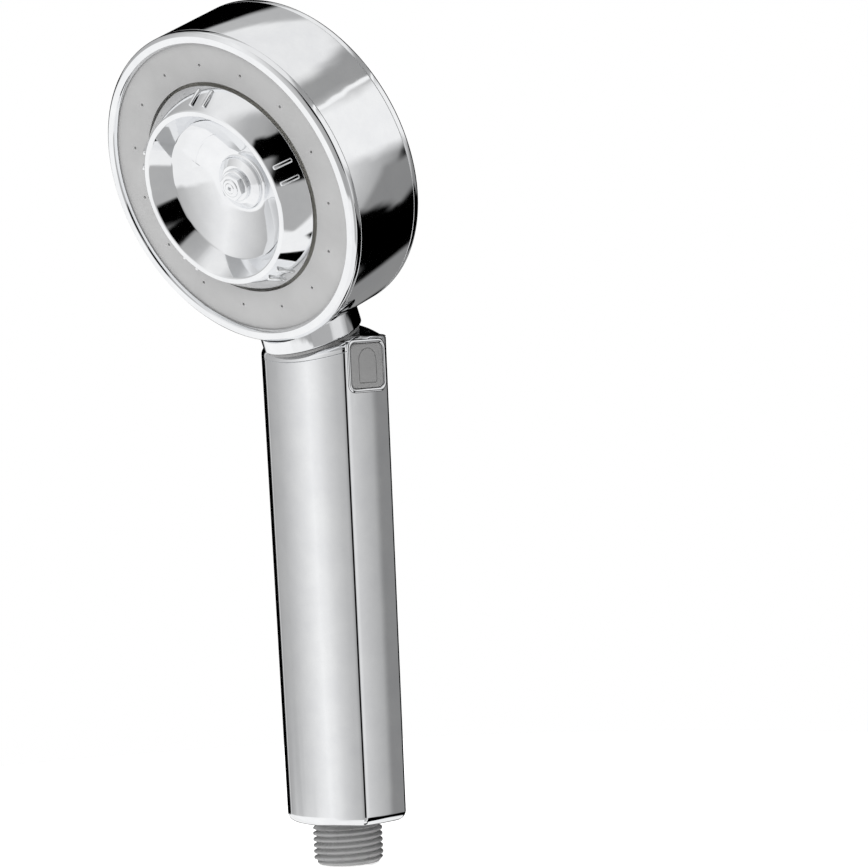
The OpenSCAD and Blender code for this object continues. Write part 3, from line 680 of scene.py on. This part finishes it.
def nozzle_mat():
    """Rubber sheet behind the rain plate, with its nozzles standing out through the plate."""
    low, back, face = MAT_LOW.z / MM, PLATE_LOW.z / MM, FACE / MM
    sheet = [(28, low), (44.4, low), (44.4, back - 0.02), (28, back - 0.02), (28, low)]
    bm = spun(bmesh.new(), [Vector((r * MM, z * MM)) for r, z in sheet], 96)
    teat = [(0, face + 1.2, 0), (0.45, face + 1.2, 0), (0.45, face + 2.4, 0.1),
            (1.05, face + 2.4, 0.3), (1.3, face + 1.0, 0.8), (1.78, face + 0.1, 0.15),
            (1.78, back - 0.1, 0), (0, back - 0.1, 0)]
    line = rounded(in_mm(teat), 3)
    groups = 17
    rows = ((40.7, 3.1), (37.55, 11.8), (32.0, 17.7))
    for group in range(groups):
        for radius, first in rows:
            nozzle = spun(bmesh.new(), line, 20)
            bmesh.ops.transform(nozzle, verts=nozzle.verts,
                                matrix=at_turn(radius * MM, first + group * 360 / groups))
            join(bm, nozzle)
    return finish_piece(bm, "nozzle_sheet", "head", RAIN_PLACE, sharp=50)


def trim_ring():
    """Raised ring round the centre of the rain face."""
    r, top, face = TRIM_R / MM, TRIM_TOP / MM, FACE / MM
    return lathe("trim_ring", "head", RAIN_PLACE,
                 [(r - 3.4, face + 0.02, 0), (r, face + 0.02, 0), (r, top - 0.5, 0.6),
                  (r - 1.1, top, 0.5), (r - 2.4, top, 0.4), (r - 3.4, top - 0.75, 0.15)], 128, sharp=60)


def center_cover():
    """Slightly domed disc inside the trim ring."""
    r, top, face = COVER_R / MM, COVER_HIGH.z / MM, FACE / MM
    dome = [(r * t, top - 0.35 * t * t, 0) for t in spread(0.9, 0, 9)]
    edge = [(0, face + 0.02, 0), (r, face + 0.02, 0), (r, top - 0.4, 0.3)]
    line = rounded(in_mm(edge + dome), 4)
    return finish_piece(spun(bmesh.new(), line, 128), "center_cover", "head", RAIN_PLACE)


# ---- Material helpers ----

def linear(code):
    """An sRGB hex colour as linear values."""
    values = [int(code[i:i + 2], 16) / 255 for i in (1, 3, 5)]
    return [v / 12.92 if v <= 0.04045 else ((v + 0.055) / 1.055) ** 2.4 for v in values] + [1.0]


def per(size_mm):
    """Texture scale that gives features of about this many millimetres."""
    return 1 / (size_mm * MM)


def add(tree, kind, inputs=None, **settings):
    """Adds a node; inputs are values or sockets to link."""
    node = tree.nodes.new(kind)
    for key, value in settings.items():
        setattr(node, key, value)
    for key, value in (inputs or {}).items():
        if isinstance(value, bpy.types.NodeSocket):
            tree.links.new(value, node.inputs[key])
        else:
            node.inputs[key].default_value = value
    return node


def noise(tree, coords, size_mm, detail=2.0, rough=0.5):
    """Noise with features of about a size in millimetres."""
    node = add(tree, "ShaderNodeTexNoise", {"Vector": coords, "Scale": per(size_mm), "Detail": detail,
                                            "Roughness": rough})
    return node.outputs["Fac"]


def remap(tree, value, low, high, to_low, to_high):
    """Stretches one range of values onto another."""
    node = add(tree, "ShaderNodeMapRange", {"Value": value, "From Min": low, "From Max": high,
                                            "To Min": to_low, "To Max": to_high})
    return node.outputs["Result"]


def new_surface(name, specular=0.5):
    """A material with its shader, and the object coordinates its patterns use."""
    material = bpy.data.materials.new(name)
    material.use_nodes = True
    tree = material.node_tree
    shader = tree.nodes["Principled BSDF"]
    shader.inputs["Specular IOR Level"].default_value = specular
    coords = add(tree, "ShaderNodeTexCoord").outputs["Object"]
    return material, tree, shader, coords


def add_bump(tree, shader, height, distance_mm, below=None):
    """Raises the surface by a height pattern, on top of another bump if one is given."""
    inputs = {"Height": height, "Distance": distance_mm * MM, "Strength": 1.0}
    if below is not None:
        inputs["Normal"] = below
    normal = add(tree, "ShaderNodeBump", inputs).outputs["Normal"]
    tree.links.new(normal, shader.inputs["Normal"])
    return normal


def two_tone(tree, shader, factor, dark, light):
    """Base colour that moves between two tones with a pattern."""
    mix = add(tree, "ShaderNodeMix", data_type="RGBA")
    tree.links.new(factor, mix.inputs[0])
    mix.inputs[6].default_value = dark
    mix.inputs[7].default_value = light
    tree.links.new(mix.outputs[2], shader.inputs["Base Color"])


def chrome(name, waves_mm=0.0):
    """Mirror plating over moulded plastic: faint dried water marks, fine polish, moulding waves."""
    material, tree, shader, coords = new_surface(name)
    shader.inputs["Metallic"].default_value = 1.0
    marks = noise(tree, coords, 9, 4, 0.6)
    two_tone(tree, shader, remap(tree, marks, 0.3, 0.7, 0, 1), linear("#eeeff1"), linear("#f6f7f8"))
    drops = noise(tree, coords, 1.6, 2, 0.5)
    film = add(tree, "ShaderNodeMath", {0: marks, 1: drops}, operation="MULTIPLY").outputs[0]
    tree.links.new(remap(tree, film, 0.12, 0.42, 0.028, 0.075), shader.inputs["Roughness"])
    polish = add_bump(tree, shader, noise(tree, coords, 2.2, 1), 0.0012)
    if waves_mm:
        add_bump(tree, shader, noise(tree, coords, 17, 1, 0.4), waves_mm, below=polish)
    return material


def moulded(name, dark, light, rough=(0.38, 0.5), grain_mm=0.28, grain_height=0.006):
    """Moulded plastic or rubber: fine grain, slow changes of tone, and slightly uneven sheen."""
    material, tree, shader, coords = new_surface(name, 0.45)
    cloud = noise(tree, coords, 11, 3, 0.55)
    two_tone(tree, shader, remap(tree, cloud, 0.3, 0.7, 0, 1), linear(dark), linear(light))
    sheen = noise(tree, coords, 2.5, 3, 0.6)
    tree.links.new(remap(tree, sheen, 0.25, 0.75, *rough), shader.inputs["Roughness"])
    grain = add_bump(tree, shader, noise(tree, coords, grain_mm, 2, 0.6), grain_height)
    add_bump(tree, shader, noise(tree, coords, 6, 2), 0.01, below=grain)
    return material


def turned_steel(name):
    """Stainless steel with fine tool lines."""
    material, tree, shader, coords = new_surface(name)
    shader.inputs["Metallic"].default_value = 1.0
    shader.inputs["Anisotropic"].default_value = 0.4
    cloud = noise(tree, coords, 3, 3)
    two_tone(tree, shader, cloud, linear("#b4b4b6"), linear("#cfcfd0"))
    lines = add(tree, "ShaderNodeTexWave", {"Vector": coords, "Scale": per(3.0), "Distortion": 1.5,
                                            "Detail": 2.0}, wave_type="RINGS").outputs["Fac"]
    tree.links.new(remap(tree, lines, 0, 1, 0.22, 0.34), shader.inputs["Roughness"])
    add_bump(tree, shader, lines, 0.004)
    return material


def satin_metal(name):
    """Satin plated disc: fine even texture that spreads the light."""
    material, tree, shader, coords = new_surface(name)
    shader.inputs["Metallic"].default_value = 0.75
    cloud = noise(tree, coords, 14, 3)
    two_tone(tree, shader, remap(tree, cloud, 0.3, 0.7, 0, 1), linear("#e2e2e3"), linear("#eaeaea"))
    fine = noise(tree, coords, 0.2, 2, 0.6)
    tree.links.new(remap(tree, fine, 0.2, 0.8, 0.36, 0.46), shader.inputs["Roughness"])
    add_bump(tree, shader, fine, 0.003)
    return material


# ---- Finishes ----

FINISH = {
    # Bright plating on smooth moulded parts
    "chrome_plating": lambda: chrome("bright chrome plating on ABS"),
    # Fine satin texture of the two spray plates
    "face_plate_plastic": lambda: moulded("satin grey ABS", "#b4b4b4", "#bcbcbc"),
    # Mid grey moulding of the marked button
    "button_plastic_light": lambda: moulded("satin mid grey ABS", "#959595", "#9c9c9c"),
    # Darker grey moulding of the plain button
    "button_plastic_dark": lambda: moulded("satin dark grey ABS", "#6a6a6a", "#717171"),
    # Acetal of the inlet thread and the swivel's bearing
    "grey_acetal": lambda: moulded("smooth grey acetal", "#8f8f8f", "#999999", (0.24, 0.34), 0.4, 0.003),
    # Natural acetal of the water parts
    "white_acetal": lambda: moulded("natural acetal", "#dedcd4", "#e6e4dd", (0.3, 0.42), 0.5, 0.003),
    # Nitrile of the O-rings and flat seals
    "seal_rubber": lambda: moulded("black nitrile rubber", "#161616", "#1e1e1e", (0.45, 0.6), 0.3, 0.006),
    # Soft silicone of the rain nozzles
    "nozzle_rubber": lambda: moulded("dark grey silicone", "#3f3f3f", "#494949", (0.42, 0.55), 0.3, 0.006),
    # Disc in the middle of the rain face
    "satin_plate": lambda: satin_metal("satin plated disc"),
    # Screws, washers, ball, spring and clip
    "stainless_steel": lambda: turned_steel("turned stainless steel"),
}


def paint(obj, material):
    """Gives an object one material all over."""
    if not obj.material_slots:
        obj.data.materials.append(material)
    for holder in obj.material_slots:
        holder.material = material


def build_object():
    """Makes every visible piece, then gives all pieces and kept CAD nodes their finish."""
    made = {
        "handle_shell": grip_skin(),
        "handle_shoulder": shoulder_lid(),
        "right_bezel": side_bezel(1),
        "left_bezel": side_bezel(-1),
        "marked_button": stop_button(1),
        "plain_button": stop_button(-1),
        "inlet_fitting": threaded_inlet(),
        "neck_collar": neck_band(),
        "drum_shell": drum_skin(),
        "mist_bezel": face_rim("mist_side_rim", MIST_PLACE),
        "rain_bezel": face_rim("rain_side_rim", RAIN_PLACE),
        "mode_knob": mode_knob(),
        "jet_nozzle": jet_nozzle(),
        "nozzle_mat": nozzle_mat(),
        "rain_trim_ring": trim_ring(),
        "rain_center_cover": center_cover(),
    }
    slots = {part["node"]: part["material_slot"] for part in RECORD["subparts"]}
    finishes = {slot: make() for slot, make in FINISH.items()}
    wavy = chrome("bright chrome plating with moulding waves", 0.035)
    lighter = moulded("satin light grey ABS", "#c0c0c0", "#c6c6c6")
    special = {"drum_shell": wavy, "mode_knob": wavy, "neck_collar": wavy, "rain_plate": lighter}
    for node, slot in slots.items():
        piece = made.get(node, frame["nodes"][node])
        paint(piece, special.get(node, finishes[slot]))
        if node in made:
            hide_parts(node)


# ---- Studio ----

def calc(tree, operation, *values):
    """One arithmetic node."""
    return add(tree, "ShaderNodeMath", dict(enumerate(values)), operation=operation).outputs[0]


def soft_step(tree, value, edge, width):
    """0 below an edge and 1 above it, in degrees."""
    node = add(tree, "ShaderNodeMapRange", {"Value": value, "From Min": edge - width / 2,
                                            "From Max": edge + width / 2},
               interpolation_type="SMOOTHSTEP")
    return node.outputs["Result"]


def band(tree, value, low, high, width):
    """1 between two edges and 0 outside them, with soft ends."""
    return calc(tree, "MULTIPLY", soft_step(tree, value, low, width),
                calc(tree, "SUBTRACT", 1.0, soft_step(tree, value, high, width)))


def card(tree, light, bearing, height, sides, ends, level, soft=6.0):
    """Paints a soft card of one brightness over the studio walls."""
    mask = calc(tree, "MULTIPLY", band(tree, bearing, *sides, soft), band(tree, height, *ends, soft))
    return calc(tree, "MULTIPLY_ADD", calc(tree, "SUBTRACT", level, light), mask, light)


# Brightness of the studio walls at eye height, by compass bearing in degrees from +X towards +Y
WALLS = [(-180, 0.44), (-160, 0.50), (-146, 0.60), (-125, 0.78), (-106, 0.95), (-94, 0.86),
         (-83, 0.70), (-68, 0.54), (-56, 0.46), (-42, 0.40), (-33, 0.30), (-29, 0.0), (-4, 0.0),
         (2, 0.55), (15, 0.78), (33, 0.78), (40, 0.58), (46, 0.46), (52, 0.32), (54, 0.0),
         (169, 0.0), (171, 0.80), (174, 0.40), (180, 0.44)]
# Cards: bearing range, height range, brightness, softness
CARDS = [((-190, 190), (54, 110), 0.88, 12), ((-190, 190), (-110, -36), 0.95, 6),
         ((-190, -100), (-70, -10), 1.0, 8), ((146, 190), (-70, -10), 0.95, 4),
         ((-40, 8), (-60, -13), 0.45, 5), ((-48, -24), (12, 32), 0.0, 4),
         ((112, 160), (44, 57), 0.50, 6), ((5, 62), (6, 38), 0.95, 8),
         ((10, 80), (42, 56), 0.34, 8), ((10, 80), (39.5, 42), 1.0, 1.5),
         ((48, 66), (-19, 0), 0.26, 4), ((64, 98), (-34, -18), 0.0, 3),
         ((25, 62), (-60, -17), 0.0, 4), ((62, 125), (-86, -55), 0.0, 6),
         ((98, 140), (-34, -9), 0.26, 6)]


def studio_walls():
    """Soft white and grey cards around the object, with black flags for the dark edges."""
    world = bpy.data.worlds.new("studio")
    bpy.context.scene.world = world
    world.use_nodes = True
    tree = world.node_tree
    tree.nodes.clear()
    direction = add(tree, "ShaderNodeTexCoord").outputs["Generated"]
    ripple = add(tree, "ShaderNodeTexNoise", {"Vector": direction, "Scale": 5.0, "Detail": 2.0})
    axes = add(tree, "ShaderNodeSeparateXYZ", {0: direction})
    degrees = 360 / FULL_TURN
    bearing = calc(tree, "MULTIPLY", calc(tree, "ARCTAN2", axes.outputs[1], axes.outputs[0]), degrees)
    height = calc(tree, "MULTIPLY", calc(tree, "ARCSINE", axes.outputs[2]), degrees)
    wave = remap(tree, ripple.outputs["Fac"], 0.3, 0.7, -1.5, 1.5)
    height_wavy = calc(tree, "ADD", height, wave)
    ramp = add(tree, "ShaderNodeValToRGB", {0: remap(tree, bearing, -180, 180, 0, 1)})
    stops = ramp.color_ramp.elements
    stops.remove(stops[1])
    for i, (place, level) in enumerate(WALLS):
        stop = stops.new((place + 180) / 360) if i else stops[0]
        stop.color = (level, level, level, 1)
    light = ramp.outputs["Color"]
    for sides, ends, level, soft in CARDS:
        light = card(tree, light, bearing, height_wavy, sides, ends, level, soft)
    walls = add(tree, "ShaderNodeBackground", {"Color": (1, 1, 1, 1), "Strength": light})
    backdrop = add(tree, "ShaderNodeBackground", {"Color": (1, 1, 1, 1), "Strength": 1.0})
    path = add(tree, "ShaderNodeLightPath")
    mix = add(tree, "ShaderNodeMixShader", {0: path.outputs["Is Camera Ray"],
                                            1: walls.outputs[0], 2: backdrop.outputs[0]})
    out = add(tree, "ShaderNodeOutputWorld")
    tree.links.new(mix.outputs[0], out.inputs["Surface"])


def pale_floor():
    """Matt white disc just under the inlet, left out of reflections."""
    bm = bmesh.new()
    bmesh.ops.create_circle(bm, cap_ends=True, radius=0.33, segments=96)
    bmesh.ops.translate(bm, vec=(0, 0, -0.5 * MM), verts=bm.verts)
    floor = link_mesh(bm, "pale_floor")
    # White paper sweep
    material, tree, shader, coords = new_surface("white paper", 0.1)
    shader.inputs["Base Color"].default_value = (0.92, 0.92, 0.92, 1)
    shader.inputs["Roughness"].default_value = 0.9
    shader.inputs["Emission Color"].default_value = (1, 1, 1, 1)
    shader.inputs["Emission Strength"].default_value = 0.7
    add_bump(tree, shader, noise(tree, coords, 0.8, 3), 0.01)
    floor.data.materials.append(material)
    floor.visible_glossy = False


def soft_light(name, place, target, size, power):
    """Round area light aimed at a target, left out of reflections."""
    light = bpy.data.lights.new(name, "AREA")
    light.shape = "DISK"
    light.size = size
    light.energy = power
    lamp = bpy.data.objects.new(name, light)
    bpy.context.scene.collection.objects.link(lamp)
    lamp.location = place
    lamp.rotation_euler = (Vector(target) - Vector(place)).to_track_quat("-Z", "Y").to_euler()
    lamp.visible_glossy = False


def camera():
    """Long lens a little above the middle of the grip, leaning slightly."""
    data = bpy.data.cameras.new("camera")
    data.sensor_width = 36
    data.lens = 184.4
    lens = bpy.data.objects.new("camera", data)
    bpy.context.scene.collection.objects.link(lens)
    right = Vector((0.721, 0.690, -0.049))
    up = Vector((0.005, 0.0655, 0.9978))
    back = Vector((0.692, -0.7196, 0.0438))
    lens.matrix_world = placed(right.normalized(), up.normalized(), back.normalized(),
                               Vector((0.951, -0.943, 0.187)))
    bpy.context.scene.camera = lens


build_object()
studio_walls()
pale_floor()
soft_light("key", (0.7, -1.0, 0.7), (0, 0, 0.18), 0.7, 6)
soft_light("fill", (-0.9, 0.8, 0.5), (0, 0, 0.15), 0.8, 4)
camera()
bpy.context.scene.view_settings.view_transform = "Standard"
